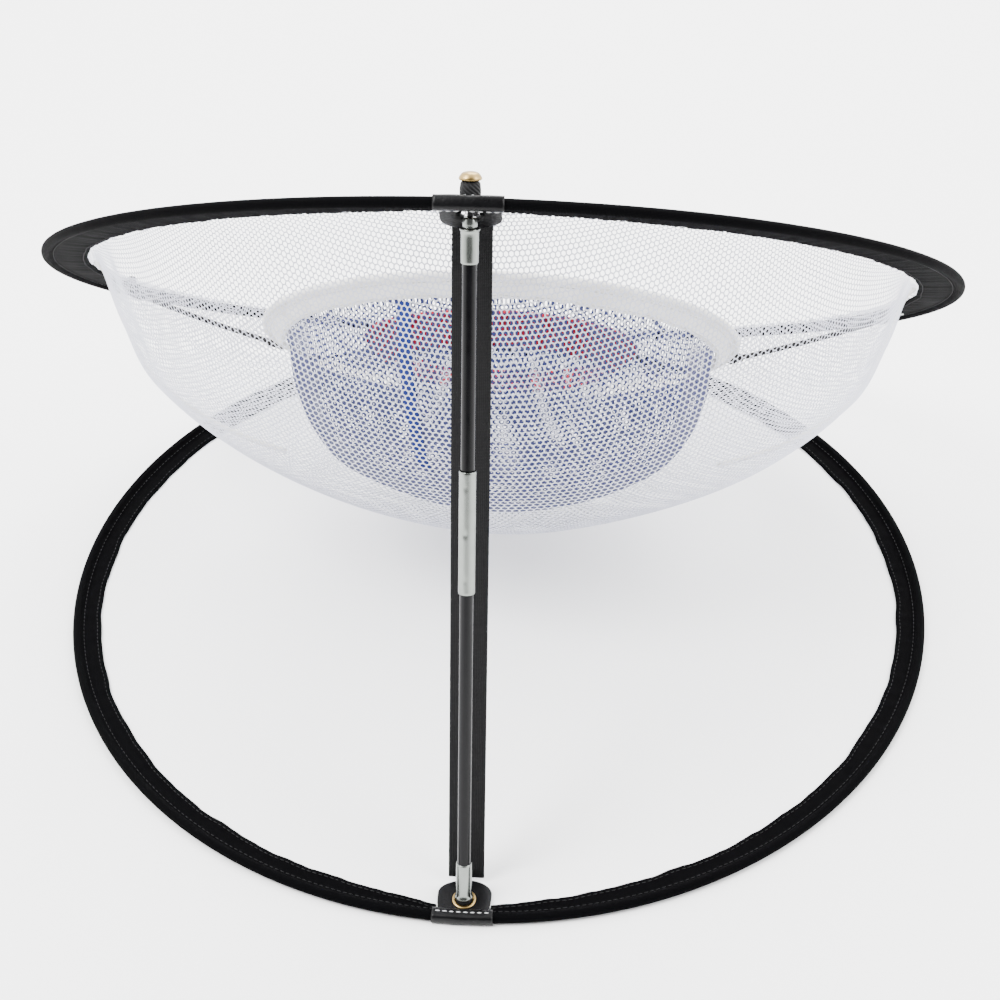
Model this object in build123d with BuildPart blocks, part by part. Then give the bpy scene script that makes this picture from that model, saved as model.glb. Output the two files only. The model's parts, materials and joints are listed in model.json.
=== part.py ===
"""Golf chipping net: two wire hoops hinged like a clam shell, propped open by a folding pole.

Millimetres, +Z up. The origin is on the floor under the middle of the base hoop. The hoops are
hinged at +Y. The pole stands at -Y and holds the target hoop open, so that its face looks to +Y.
"""
import os
from math import atan2, cos, degrees, hypot, radians, sin

from build123d import *

# Hoops
HOOP_R = 254.0            # outer radius of the base and target hoops
WIRE_R = 1.75             # spring wire
BEAD_R = 2.55             # fabric wrapped round the wire
HEM_T = 1.6               # the two plies of a sleeve, sewn flat
BASE_BAND = 16.0          # width of the base hoop's sleeve
TARGET_BAND = 24.0        # width of the target hoop's sleeve
BASE_WIRE_Z = 3.0         # the base wire's height over the floor
BEAD_CENTRE_R = HOOP_R - BEAD_R

# Opening
TILT = 40.0               # target hoop to floor
HINGE_Y = 250.5           # the target wire at the hinge, which is the fold's axis
HINGE_Z = 10.65

# Hinge loop at the far side
HINGE_LOOP_W = 22.0
LOOP_T = 1.0
LOOP_CLEARANCE = 0.75     # round the target hoop's bead
SADDLE_CLEARANCE = 0.3    # over the base hoop's bead
SADDLE_T = 0.8
LOOP_NECK_W = 3.0
LOOP_NECK_IN = 0.4
HINGE_SLIT_L = HINGE_LOOP_W + 4.0
HINGE_SLIT_W = 5.0
HINGE_SLIT_R = BEAD_CENTRE_R - BEAD_R - HINGE_SLIT_W / 2 + 0.6

# Patches and tabs where the pole stands
NEAR = 270.0              # the pole's place round each hoop, in degrees from +X
PATCH_W = 30.0
PATCH_T = 0.8
PATCH_IN_R = 246.5        # a patch's inner edge
PATCH_CHAMFER = 1.2
JOINER_R = 2.35
JOINER_L = 26.0
TAB_W = 27.0
TAB_OUT_R = 248.5         # a tab's outer end, which its patch grips
TAB_L = 12.5              # straight part of a tab
TAB_ROUND = 8.0           # its rounded end
TAB_END_R = TAB_OUT_R - TAB_L - TAB_ROUND
TAB_T = 1.6
POLE_EYELET_RING_R = 240.0
EYELET_R = 4.0
EYELET_FLANGE_R = 6.0
EYELET_FLANGE_T = 0.5

# Pole
ROD_R = 3.25
ROD_BORE_R = 2.0
ROD_CHAMFER = 0.3
ROD_INSET = 8.0           # from a pivot to the end of the rod inside its tip
FERRULE_R = 3.9
FERRULE_L = 56.0
FERRULE_STEP = 2.0        # from the ferrule's middle down to the end of the lower rod
JOIN_AT = 188.0           # the ferrule's middle, up the pole from its foot
TIP_L = 16.0
TIP_BALL_R = 4.4
TIP_NECK_R = 3.2
TIP_END = 4.2             # how far a tip's ball reaches past its pivot
PIVOT_H = 7.8             # from an eyelet's middle to the pole's pivot
OPEN_GAP = 4.0            # clearance at the ferrule's mouth, where the pole comes apart
SHOCK_CORD_R = 1.25
SHOCK_CORD_BORE_R = 1.4
SHOCK_CORD_IN = 1.0       # from a tip's pivot, or from a tube's mouth, to the cord's end
CORD_TAIL = 1.8           # from an eyelet's middle to the end of the cord beyond its tab
STRAP_W = 18.0
STRAP_T = 1.4

# Shock-cord ends: a knot in the base eyelet, and a stop with a brass cap over the target's
KNOT_R = EYELET_R - 0.1
KNOT_PROUD = 0.4
STOP_R = 4.6
STOP_H = 9.0
STOP_FILLET = 1.0
CAP_R = 5.0
CAP_T = 3.5
CAP_FILLET = 2.5

# Middle and inner hoops, in the target hoop's own plane: depth below it and extra tilt
MIDDLE_R = 135.0
MIDDLE_DEPTH = 31.0
MIDDLE_TILT = 8.0
MIDDLE_BAND = 14.0
MIDDLE_SLOPE = 36.0       # how steeply the band hangs inwards
INNER_R = 78.0
INNER_DEPTH = 34.0
INNER_TILT = 7.0
INNER_BAND = 20.0
INNER_SLOPE = 45.0
SMALL_WIRE_R = 1.25
SMALL_BEAD_R = 2.0

# Nets and cords
NET_T = 1.0
NET_HEM_GAP = 1.2         # from a small hoop's hem to its net
FLANGE_IN = 6.0           # how far the outer net is sewn over the target hoop's hem
RIM_R = 226.0             # mouth of the outer net's pocket, set back to leave room for the tab
RIM_SHIFT = 3.0
NOTCH_GAP = 1.5           # clearance round the target's tab, where the net is cut away
CORD_R = 1.5
CORD_HOLE_R = 2.6
CORD_DROP = 3.6           # from the target hoop's plane down to a long cord's bend
CORD_KNOT_R = 3.2
CORD_BITE = 0.6           # how far a long cord's end sinks into a small hoop's cloth
SHORT_CORD_R = 1.0
SHORT_CORD_BITE = 0.4
CORD_EYELET_R = 2.3
CORD_EYELET_FLANGE_R = 4.5
CORD_ANGLES = {"left": 165.0, "right": 15.0}
CORD_EYELET_RING_R = 241.0

os.makedirs("parts", exist_ok=True)


def finish(builder, name):
    """Label a finished piece and write its file."""
    builder.part.label = name
    export_step(builder.part, f"parts/{name}.step")


# Planes: each hoop's plane has its origin at the hoop's centre and its z along the hoop's axis
def tilted(centre, tilt):
    """A hoop's plane, leaning back from level by a tilt about X."""
    return Plane(origin=centre, x_dir=(1, 0, 0), z_dir=(0, sin(radians(tilt)), cos(radians(tilt))))


def at(plane, x, y, z):
    """A point of a hoop's plane, as a vector in the part's frame."""
    return plane.from_local_coords(Vector(x, y, z))


def on_ring(plane, radius, angle, z=0.0):
    """A point at a radius and an angle round a hoop."""
    return at(plane, radius * cos(radians(angle)), radius * sin(radians(angle)), z)


def section(plane, angle):
    """The plane that cuts a hoop at an angle: x runs outwards and y along the hoop's axis."""
    outward = plane.x_dir * cos(radians(angle)) + plane.y_dir * sin(radians(angle))
    return Plane(origin=plane.origin, x_dir=outward, z_dir=outward.cross(plane.z_dir))


BASE = Plane(origin=(0, 0, BASE_WIRE_Z), x_dir=(1, 0, 0), z_dir=(0, 0, 1))
HINGE_AXIS_PLANE = tilted((0, HINGE_Y, HINGE_Z), TILT)
TARGET = tilted(at(HINGE_AXIS_PLANE, 0, -BEAD_CENTRE_R, 0), TILT)
MIDDLE = tilted(at(TARGET, 0, 0, -MIDDLE_DEPTH), TILT + MIDDLE_TILT)
INNER = tilted(at(TARGET, 0, 0, -INNER_DEPTH), TILT + INNER_TILT)

PATCH_ARC = degrees(PATCH_W / BEAD_CENTRE_R)
JOINER_ARC = degrees(JOINER_L / BEAD_CENTRE_R)


# Hoops: a wire, a joiner crimped over its ends, and a sewn sleeve
def make_wire(plane, ring_r, wire_r, name):
    with BuildPart() as wire:
        with BuildSketch(section(plane, NEAR)):
            with Locations((ring_r, 0)):
                Circle(wire_r)
        revolve(axis=Axis(plane.origin, plane.z_dir))
    finish(wire, name)


def make_joiner(plane, name):
    with BuildPart() as joiner:
        with BuildSketch(section(plane, NEAR - JOINER_ARC / 2)):
            with Locations((BEAD_CENTRE_R, 0)):
                Circle(JOINER_R)
                Circle(WIRE_R, mode=Mode.SUBTRACT)
        revolve(axis=Axis(plane.origin, plane.z_dir), revolution_arc=JOINER_ARC)
    finish(joiner, name)


def make_big_sleeve(plane, band, hem_low, holes, name):
    """A flat band with the wire in a bead at its outer edge, open where the patch goes."""
    hem_in = HOOP_R - band
    with BuildPart() as sleeve:
        with BuildSketch(section(plane, NEAR + PATCH_ARC / 2)):
            with Locations((BEAD_CENTRE_R, 0)):
                Circle(BEAD_R)
            with Locations(((hem_in + BEAD_CENTRE_R) / 2, hem_low + HEM_T / 2)):
                Rectangle(BEAD_CENTRE_R - hem_in, HEM_T)
            with Locations((BEAD_CENTRE_R, 0)):
                Circle(WIRE_R, mode=Mode.SUBTRACT)
        revolve(axis=Axis(plane.origin, plane.z_dir), revolution_arc=360 - PATCH_ARC)
        holes(plane)
    finish(sleeve, name)


def no_holes(plane):
    """The base hoop's sleeve is whole."""


def target_sleeve_holes(plane):
    """Eyelet holes for the long cords, and a slit for the hinge loop."""
    for angle in CORD_ANGLES.values():
        with Locations(Plane(on_ring(plane, CORD_EYELET_RING_R, angle), plane.x_dir, plane.z_dir)):
            Cylinder(CORD_EYELET_R + 0.4, 3 * HEM_T, mode=Mode.SUBTRACT)
    slit = Plane(at(plane, 0, HINGE_SLIT_R, 0), plane.x_dir, plane.z_dir)
    with Locations(slit):
        Box(HINGE_SLIT_L, HINGE_SLIT_W, 3 * HEM_T, mode=Mode.SUBTRACT)


make_wire(BASE, BEAD_CENTRE_R, WIRE_R, "base_hoop_wire")
make_wire(TARGET, BEAD_CENTRE_R, WIRE_R, "target_hoop_wire")
make_joiner(BASE, "base_wire_joiner")
make_joiner(TARGET, "target_wire_joiner")
BASE_HEM_LOW = -BASE_WIRE_Z
make_big_sleeve(BASE, BASE_BAND, BASE_HEM_LOW, no_holes, "base_hoop_sleeve")
make_big_sleeve(TARGET, TARGET_BAND, -HEM_T / 2, target_sleeve_holes, "target_hoop_sleeve")


# Patches: vinyl folded over each hoop where its wire is joined, gripping the tab's outer end
def make_patch(plane, low, tab_low, name):
    """low and tab_low are heights above the hoop's wire: of the patch's face and the tab's."""
    bead_in = BEAD_CENTRE_R - BEAD_R
    high = BEAD_R + PATCH_T
    outer_r = HOOP_R + PATCH_T
    with BuildPart() as patch:
        with BuildSketch(section(plane, NEAR - PATCH_ARC / 2)):
            with BuildLine():
                Polyline(
                    (PATCH_IN_R, tab_low - PATCH_T),
                    (bead_in, low),
                    (outer_r - PATCH_CHAMFER, low),
                    (outer_r, low + PATCH_CHAMFER),
                    (outer_r, high - PATCH_CHAMFER),
                    (outer_r - PATCH_CHAMFER, high),
                    (bead_in, high),
                    (PATCH_IN_R, tab_low + TAB_T + PATCH_T),
                    close=True,
                )
            make_face()
            with Locations((BEAD_CENTRE_R, 0)):
                Circle(JOINER_R, mode=Mode.SUBTRACT)
        revolve(axis=Axis(plane.origin, plane.z_dir), revolution_arc=PATCH_ARC)
        tab_middle = at(plane, 0, -TAB_OUT_R + TAB_L / 2, tab_low + TAB_T / 2)
        with Locations(Plane(tab_middle, plane.x_dir, plane.z_dir)):
            Box(2 * PATCH_W, TAB_L, TAB_T, mode=Mode.SUBTRACT)
    finish(patch, name)


def make_tab(plane, tab_low, name):
    """A D-shaped vinyl tab that points to the hoop's centre, with a hole for its eyelet."""
    with BuildPart() as tab:
        with BuildSketch(Plane(at(plane, 0, 0, tab_low), plane.x_dir, plane.z_dir)):
            with Locations((0, -TAB_OUT_R + TAB_L / 2)):
                Rectangle(TAB_W, TAB_L)
            with Locations((0, -TAB_OUT_R + TAB_L)):
                Ellipse(TAB_W / 2, TAB_ROUND)
            with Locations((0, -POLE_EYELET_RING_R)):
                Circle(EYELET_R + EYELET_FLANGE_T, mode=Mode.SUBTRACT)
        extrude(amount=TAB_T)
    finish(tab, name)


def add_washer(plane, outer_r, bore_r, height):
    """Add a round washer that stands on a plane to the piece being built."""
    with BuildSketch(plane) as washer:
        Circle(outer_r)
        Circle(bore_r, mode=Mode.SUBTRACT)
    extrude(washer.sketch, amount=height)


def add_eyelet(centre, plane, bore_r, flange_r, grip):
    """A rolled eyelet: a barrel through the cloth with a flange on each face."""
    middle = Plane(centre, plane.x_dir, plane.z_dir)
    add_washer(middle.offset(-grip / 2), bore_r + EYELET_FLANGE_T, bore_r, grip)
    add_washer(middle.offset(-grip / 2 - EYELET_FLANGE_T), flange_r, bore_r, EYELET_FLANGE_T)
    add_washer(middle.offset(grip / 2), flange_r, bore_r, EYELET_FLANGE_T)


BASE_TAB_LOW = BASE_HEM_LOW + PATCH_T
TARGET_TAB_LOW = -TAB_T / 2
make_patch(BASE, BASE_HEM_LOW, BASE_TAB_LOW, "base_patch")
make_patch(TARGET, -BEAD_R - PATCH_T, TARGET_TAB_LOW, "target_patch")
make_tab(BASE, BASE_TAB_LOW, "base_tab")
make_tab(TARGET, TARGET_TAB_LOW, "target_tab")
BASE_EYELET = at(BASE, 0, -POLE_EYELET_RING_R, BASE_TAB_LOW + TAB_T / 2)
TARGET_EYELET = at(TARGET, 0, -POLE_EYELET_RING_R, TARGET_TAB_LOW + TAB_T / 2)

with BuildPart() as base_eyelet:
    add_eyelet(BASE_EYELET, BASE, EYELET_R, EYELET_FLANGE_R, TAB_T)
finish(base_eyelet, "base_eyelet")

with BuildPart() as target_eyelet:
    add_eyelet(TARGET_EYELET, TARGET, EYELET_R, EYELET_FLANGE_R, TAB_T)
finish(target_eyelet, "target_eyelet")

with BuildPart() as cord_eyelets:
    for ring_angle in CORD_ANGLES.values():
        eyelet_at = on_ring(TARGET, CORD_EYELET_RING_R, ring_angle)
        add_eyelet(eyelet_at, TARGET, CORD_EYELET_R - 0.1, CORD_EYELET_FLANGE_R, HEM_T)
finish(cord_eyelets, "cord_eyelets")

# Hinge loop: webbing that saddles the base hoop and goes round the target hoop's bead
LOOP_BORE_R = BEAD_R + LOOP_CLEARANCE
SADDLE_BORE_R = BEAD_R + SADDLE_CLEARANCE
with BuildPart() as hinge_loop:
    with BuildSketch(Plane(origin=(-HINGE_LOOP_W / 2, 0, 0), x_dir=(0, 1, 0), z_dir=(1, 0, 0))):
        with Locations((HINGE_Y, HINGE_Z)):
            Circle(LOOP_BORE_R + LOOP_T)
        with Locations((BEAD_CENTRE_R, BASE_WIRE_Z)):
            Circle(SADDLE_BORE_R + SADDLE_T)
        with Locations((BEAD_CENTRE_R - LOOP_NECK_IN, (BASE_WIRE_Z + HINGE_Z) / 2)):
            Rectangle(LOOP_NECK_W, HINGE_Z - BASE_WIRE_Z)
        with Locations((BEAD_CENTRE_R, BASE_WIRE_Z)):
            Circle(SADDLE_BORE_R, mode=Mode.SUBTRACT)
            Rectangle(
                4 * SADDLE_BORE_R, 2 * SADDLE_BORE_R, align=(Align.CENTER, Align.MAX), mode=Mode.SUBTRACT
            )
        with Locations((HINGE_Y, HINGE_Z)):
            Circle(LOOP_BORE_R, mode=Mode.SUBTRACT)
    extrude(amount=HINGE_LOOP_W)
finish(hinge_loop, "hinge_loop")

# Pole: two rods that meet in a ferrule, hung on a shock cord between the two eyelets
BASE_PIVOT = BASE_EYELET + Vector(0, 0, PIVOT_H)
TARGET_PIVOT = TARGET_EYELET - TARGET.z_dir * PIVOT_H
POLE = TARGET_PIVOT - BASE_PIVOT
POLE_L = POLE.length
POLE_DIR = POLE.normalized()
LOWER_END = JOIN_AT - FERRULE_STEP
FERRULE_LOW = JOIN_AT - FERRULE_L / 2
FERRULE_HIGH = JOIN_AT + FERRULE_L / 2


def pole_plane(distance):
    """The plane across the pole at a distance up it."""
    return Plane(origin=BASE_PIVOT + POLE_DIR * distance, x_dir=(1, 0, 0), z_dir=POLE_DIR)


def make_tube(low, high, outer_r, bore_r, name):
    with BuildPart() as tube:
        with BuildSketch(pole_plane(low)):
            Circle(outer_r)
            Circle(bore_r, mode=Mode.SUBTRACT)
        extrude(amount=high - low)
        chamfer(tube.edges().filter_by(GeomType.CIRCLE).group_by(SortBy.RADIUS)[-1], ROD_CHAMFER)
    finish(tube, name)


def pole_section(pivot_at, direction):
    """A plane along the pole: x is outwards from its axis and y runs away from the tip's end."""
    along = POLE_DIR * direction
    return Plane(
        origin=BASE_PIVOT + POLE_DIR * pivot_at, x_dir=(1, 0, 0), z_dir=Vector(1, 0, 0).cross(along)
    )


def make_tip(pivot_at, direction, name):
    """A ferrule over a rod's end, with a flared collar and a ball that stands on the eyelet."""
    with BuildPart() as tip:
        with BuildSketch(pole_section(pivot_at, direction)):
            with BuildLine():
                Polyline(
                    (SHOCK_CORD_BORE_R, -TIP_END),
                    (TIP_NECK_R, -TIP_END + 0.6),
                    (TIP_BALL_R - 0.2, -TIP_END + 2.2),
                    (TIP_BALL_R, 0),
                    (TIP_NECK_R + 0.2, 1.5),
                    (TIP_NECK_R, 4.5),
                    (TIP_BALL_R, 5.5),
                    (TIP_BALL_R, 6.5),
                    (FERRULE_R, 7.5),
                    (FERRULE_R, TIP_L),
                    (ROD_R, TIP_L),
                    (ROD_R, ROD_INSET),
                    (SHOCK_CORD_BORE_R, ROD_INSET),
                    close=True,
                )
            make_face()
        revolve(axis=Axis(BASE_PIVOT + POLE_DIR * pivot_at, POLE_DIR))
    finish(tip, name)


make_tube(ROD_INSET, LOWER_END, ROD_R, ROD_BORE_R, "lower_rod")
make_tube(FERRULE_HIGH + OPEN_GAP, POLE_L - ROD_INSET, ROD_R, ROD_BORE_R, "upper_rod")
make_tube(FERRULE_LOW, FERRULE_HIGH, FERRULE_R, ROD_R, "mid_ferrule")
make_tip(0.0, 1, "lower_tip")
make_tip(POLE_L, -1, "upper_tip")


def make_shock_cord(low, high, name):
    with BuildPart() as cord:
        with BuildSketch(pole_plane(low)):
            Circle(SHOCK_CORD_R)
        extrude(amount=high - low)
    finish(cord, name)


make_shock_cord(SHOCK_CORD_IN, FERRULE_HIGH - SHOCK_CORD_IN, "lower_shock_cord")
make_shock_cord(
    FERRULE_HIGH + OPEN_GAP + SHOCK_CORD_IN, POLE_L - SHOCK_CORD_IN, "upper_shock_cord"
)

# Shock-cord ends
BASE_KNOT = Plane(BASE_EYELET, BASE.x_dir, BASE.z_dir)
with BuildPart() as base_cord_knot:
    with BuildSketch(BASE_KNOT.offset(-TAB_T / 2)):
        Circle(KNOT_R)
    extrude(amount=TAB_T + EYELET_FLANGE_T + KNOT_PROUD)
    with BuildSketch(BASE_KNOT):
        Circle(SHOCK_CORD_R)
    extrude(amount=CORD_TAIL)
finish(base_cord_knot, "base_cord_knot")

STOP_LOW = TAB_T / 2 + EYELET_FLANGE_T
TARGET_STOP = Plane(TARGET_EYELET, TARGET.x_dir, TARGET.z_dir)
with BuildPart() as cord_stop:
    with BuildSketch(TARGET_STOP.offset(STOP_LOW)):
        Circle(STOP_R)
    extrude(amount=STOP_H)
    fillet(cord_stop.edges().filter_by(GeomType.CIRCLE), STOP_FILLET)
    with BuildSketch(TARGET_STOP.offset(-CORD_TAIL)):
        Circle(SHOCK_CORD_R)
    extrude(amount=CORD_TAIL + STOP_LOW + STOP_H / 2)
finish(cord_stop, "cord_stop")

with BuildPart() as cord_cap:
    with BuildSketch(TARGET_STOP.offset(STOP_LOW + STOP_H)):
        Circle(CAP_R)
    extrude(amount=CAP_T)
    rims = cord_cap.edges().filter_by(GeomType.CIRCLE)
    fillet(rims.sort_by(Axis(TARGET_EYELET, TARGET.z_dir))[-1], CAP_FILLET)
finish(cord_cap, "cord_cap")

# Strap: flat webbing between the two tabs, which stops the hoops from opening further
STRAP_BASE = at(BASE, 0, -TAB_END_R + STRAP_T, BASE_TAB_LOW + TAB_T)
STRAP_TOP = at(TARGET, 0, -TAB_END_R - STRAP_T / 2, TARGET_TAB_LOW - 1.0)
STRAP_RUN = STRAP_TOP - STRAP_BASE
with BuildPart() as strap:
    with BuildSketch(Plane(STRAP_BASE, (1, 0, 0), STRAP_RUN)):
        Rectangle(STRAP_W, STRAP_T)
    extrude(amount=STRAP_RUN.length)
finish(strap, "strap")


# Middle and inner hoops: a wire in a band that hangs inwards as a cone
def band_end(radius, band, slope):
    """Radius and height of a small hoop's lower hem."""
    bead_centre = radius - SMALL_BEAD_R
    return bead_centre - band * cos(radians(slope)), -band * sin(radians(slope))


def make_small_hoop(plane, radius, band, slope, name):
    bead_centre = radius - SMALL_BEAD_R
    make_wire(plane, bead_centre, SMALL_WIRE_R, f"{name}_hoop_wire")
    with BuildPart() as sleeve:
        with BuildSketch(section(plane, NEAR)):
            with Locations((bead_centre, 0)):
                Circle(SMALL_BEAD_R)
            with Locations(Location((bead_centre, 0), slope)):
                Rectangle(band, HEM_T, align=(Align.MAX, Align.CENTER))
            with Locations((bead_centre, 0)):
                Circle(SMALL_WIRE_R, mode=Mode.SUBTRACT)
        revolve(axis=Axis(plane.origin, plane.z_dir))
    finish(sleeve, f"{name}_hoop_sleeve")


make_small_hoop(MIDDLE, MIDDLE_R, MIDDLE_BAND, MIDDLE_SLOPE, "middle")
make_small_hoop(INNER, INNER_R, INNER_BAND, INNER_SLOPE, "inner")


# Nets: pockets lofted through ellipses, each set by its near and far points and its half width
def ellipse_plane(near, far):
    """The plane of an ellipse whose near and far points are (y, z) pairs, and its half depth."""
    lean = degrees(atan2(near[1] - far[1], far[0] - near[0]))
    centre = (0, (near[0] + far[0]) / 2, (near[1] + far[1]) / 2)
    return tilted(centre, lean), hypot(far[0] - near[0], far[1] - near[1]) / 2


def loft_pocket(ellipses, wall, mode):
    """A pocket's outer or inner surface as a ruled solid: wall is taken off every half axis."""
    sections = []
    for near, far, half_width in ellipses:
        plane, half_depth = ellipse_plane(near, far)
        with BuildSketch(plane) as ellipse:
            Ellipse(half_width - wall, half_depth - wall)
        sections.append(ellipse.sketch)
    loft(sections, ruled=True, mode=mode)


def lifted(ellipses, amount):
    """The same ellipses with the last one moved up its own axis, for the floor's thickness."""
    near, far, half_width = ellipses[-1]
    return ellipses[:-1] + [((near[0], near[1] + amount), (far[0], far[1] + amount), half_width)]


def yz(vector):
    """The (y, z) pair of a point on the middle plane."""
    return vector.Y, vector.Z


def start_ellipse(plane, radius, height, shift=0.0):
    """A pocket's mouth: a circle in a hoop's plane."""
    return yz(at(plane, 0, shift - radius, height)), yz(at(plane, 0, shift + radius, height)), radius


OUTER_POCKET = [
    start_ellipse(TARGET, RIM_R, HEM_T / 2, RIM_SHIFT),
    ((-98.0, 250.0), (228.0, 18.0), 219.0),
    ((-92.0, 185.0), (220.0, 12.0), 206.0),
    ((-74.0, 118.0), (204.0, 10.0), 171.0),
    ((-42.0, 68.0), (172.0, 12.0), 121.0),
    ((2.0, 36.0), (118.0, 20.0), 58.0),
]
middle_net_r, middle_net_z = band_end(MIDDLE_R, MIDDLE_BAND, MIDDLE_SLOPE)
MIDDLE_POCKET = [
    start_ellipse(MIDDLE, middle_net_r - NET_HEM_GAP, middle_net_z),
    ((-57.0, 195.0), (112.0, 42.0), 117.0),
    ((-56.0, 150.0), (103.0, 35.0), 108.0),
    ((-45.0, 108.0), (88.0, 33.0), 91.0),
    ((-23.0, 74.0), (66.0, 35.0), 60.0),
    ((-2.0, 56.0), (40.0, 42.0), 28.0),
]
inner_net_r, inner_net_z = band_end(INNER_R, INNER_BAND, INNER_SLOPE)
INNER_POCKET = [
    start_ellipse(INNER, inner_net_r - NET_HEM_GAP, inner_net_z),
    ((-20.0, 150.0), (62.0, 82.0), 55.0),
    ((-10.0, 120.0), (52.0, 78.0), 42.0),
    ((8.0, 98.0), (34.0, 84.0), 20.0),
]


def make_small_net(ellipses, name):
    with BuildPart() as net:
        loft_pocket(ellipses, 0.0, Mode.ADD)
        loft_pocket(lifted(ellipses, NET_T), NET_T, Mode.SUBTRACT)
    finish(net, name)


make_small_net(MIDDLE_POCKET, "middle_net")
make_small_net(INNER_POCKET, "inner_net")

# Long cords: from the target hoop to the middle hoop's bead
MIDDLE_BEAD_R = MIDDLE_R - SMALL_BEAD_R


def cord_end(angle, plane, bead_centre_r, start):
    """Where a cord meets a small hoop's bead, just short of its cloth."""
    bead = on_ring(plane, bead_centre_r, angle)
    away = (start - bead).normalized()
    return bead + away * (SMALL_BEAD_R + CORD_BITE)


cord_routes = {}
for side, ring_angle in CORD_ANGLES.items():
    corner = on_ring(TARGET, CORD_EYELET_RING_R, ring_angle, -CORD_DROP)
    cord_routes[side] = (corner, cord_end(ring_angle, MIDDLE, MIDDLE_BEAD_R, corner))
near_start = at(TARGET, 0, -TAB_END_R + 0.2, 0)
cord_routes["near"] = (near_start, cord_end(NEAR, MIDDLE, MIDDLE_BEAD_R, near_start))


def add_rod(start, end, radius, mode=Mode.ADD):
    with BuildSketch(Plane(origin=start, z_dir=end - start)) as disc:
        Circle(radius)
    extrude(disc.sketch, amount=(end - start).length, mode=mode)


for side, (start, end) in cord_routes.items():
    with BuildPart() as long_cord:
        add_rod(start, end, CORD_R)
        if side in CORD_ANGLES:
            knot_height = HEM_T / 2 + EYELET_FLANGE_T + CORD_KNOT_R
            above = on_ring(TARGET, CORD_EYELET_RING_R, CORD_ANGLES[side], knot_height)
            add_rod(start, above, CORD_R)
            with Locations(start):
                Sphere(CORD_R)
            with Locations(above):
                Sphere(CORD_KNOT_R)
    finish(long_cord, f"long_cord_{side}")

# Short cords: from the middle hoop's hem to the inner hoop's bead
INNER_BEAD_R = INNER_R - SMALL_BEAD_R
for side, ring_angle in {**CORD_ANGLES, "near": NEAR}.items():
    start = on_ring(MIDDLE, middle_net_r - 3.2, ring_angle, middle_net_z + 0.5)
    bead = on_ring(INNER, INNER_BEAD_R, ring_angle)
    end = bead + (start - bead).normalized() * (SMALL_BEAD_R + SHORT_CORD_BITE)
    with BuildPart() as short_cord:
        add_rod(start, end, SHORT_CORD_R)
    finish(short_cord, f"short_cord_{side}")

# Outer net: a pocket with a flange sewn over the target hoop's hem, pierced for cords and stop
with BuildPart() as outer_net:
    loft_pocket(OUTER_POCKET, 0.0, Mode.ADD)
    with BuildSketch(TARGET.offset(HEM_T / 2)):
        Circle(HOOP_R - TARGET_BAND + FLANGE_IN)
        with Locations((0, RIM_SHIFT)):
            Circle(RIM_R - 2 * NET_T, mode=Mode.SUBTRACT)
    extrude(amount=NET_T)
    loft_pocket(lifted(OUTER_POCKET, NET_T), NET_T, Mode.SUBTRACT)
    for start, end in cord_routes.values():
        add_rod(start, end, CORD_HOLE_R, Mode.SUBTRACT)
    with BuildSketch(TARGET_STOP):
        Circle(EYELET_FLANGE_R + 0.5)
    extrude(amount=3 * NET_T, mode=Mode.SUBTRACT)
    with Locations(Plane(at(TARGET, 0, -TAB_OUT_R, HEM_T), TARGET.x_dir, TARGET.z_dir)):
        Box(
            PATCH_W + NOTCH_GAP, 2 * (TAB_OUT_R - TAB_END_R + NOTCH_GAP), 8 * NET_T, mode=Mode.SUBTRACT
        )
finish(outer_net, "outer_net")
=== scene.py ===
"""Golf chipping net: the looks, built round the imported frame. Metres, +Z up."""
import json
from math import atan2, cos, pi, radians, sin

import bpy
import numpy as np
from mathutils import Matrix, Vector


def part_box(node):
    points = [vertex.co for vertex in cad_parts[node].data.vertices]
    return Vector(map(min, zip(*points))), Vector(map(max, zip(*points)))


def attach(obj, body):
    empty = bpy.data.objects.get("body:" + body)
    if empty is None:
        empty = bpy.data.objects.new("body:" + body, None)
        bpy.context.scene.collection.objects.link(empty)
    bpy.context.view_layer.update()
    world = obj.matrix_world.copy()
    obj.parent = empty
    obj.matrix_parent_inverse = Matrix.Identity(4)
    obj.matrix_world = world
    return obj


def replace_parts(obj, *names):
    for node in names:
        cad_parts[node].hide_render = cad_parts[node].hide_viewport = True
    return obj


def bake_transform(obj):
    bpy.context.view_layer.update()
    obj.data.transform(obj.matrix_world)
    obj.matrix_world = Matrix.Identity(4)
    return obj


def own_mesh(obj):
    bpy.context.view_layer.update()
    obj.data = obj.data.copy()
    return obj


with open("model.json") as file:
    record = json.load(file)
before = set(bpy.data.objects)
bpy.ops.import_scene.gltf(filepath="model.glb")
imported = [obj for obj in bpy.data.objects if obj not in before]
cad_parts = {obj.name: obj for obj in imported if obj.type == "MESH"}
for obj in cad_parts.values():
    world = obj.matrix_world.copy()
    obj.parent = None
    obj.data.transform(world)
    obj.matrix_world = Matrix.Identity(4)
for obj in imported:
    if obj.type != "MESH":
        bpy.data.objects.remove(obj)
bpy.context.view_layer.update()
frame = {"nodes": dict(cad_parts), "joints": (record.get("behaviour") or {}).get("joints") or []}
MM = 0.001
JOINTS = {joint["name"]: joint for joint in frame["joints"]}

# Driving sizes in metres and angles in radians; the frame gives the outer radius, and the pieces
# that stand for CAD solids repeat the CAD's own sizes
TILT = radians(40.0)
NEAR = radians(270.0)
HOOP_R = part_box("base_hoop_sleeve")[1][0]
BEAD_R = 2.55 * MM
BEAD_RING_R = HOOP_R - BEAD_R
BASE_WIRE_Z = 3.0 * MM
BASE_BAND = 16.0 * MM
TARGET_BAND = 24.0 * MM
HEM_T = 1.6 * MM
SLEEVE_TUCK_ANGLE = 0.004

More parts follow.
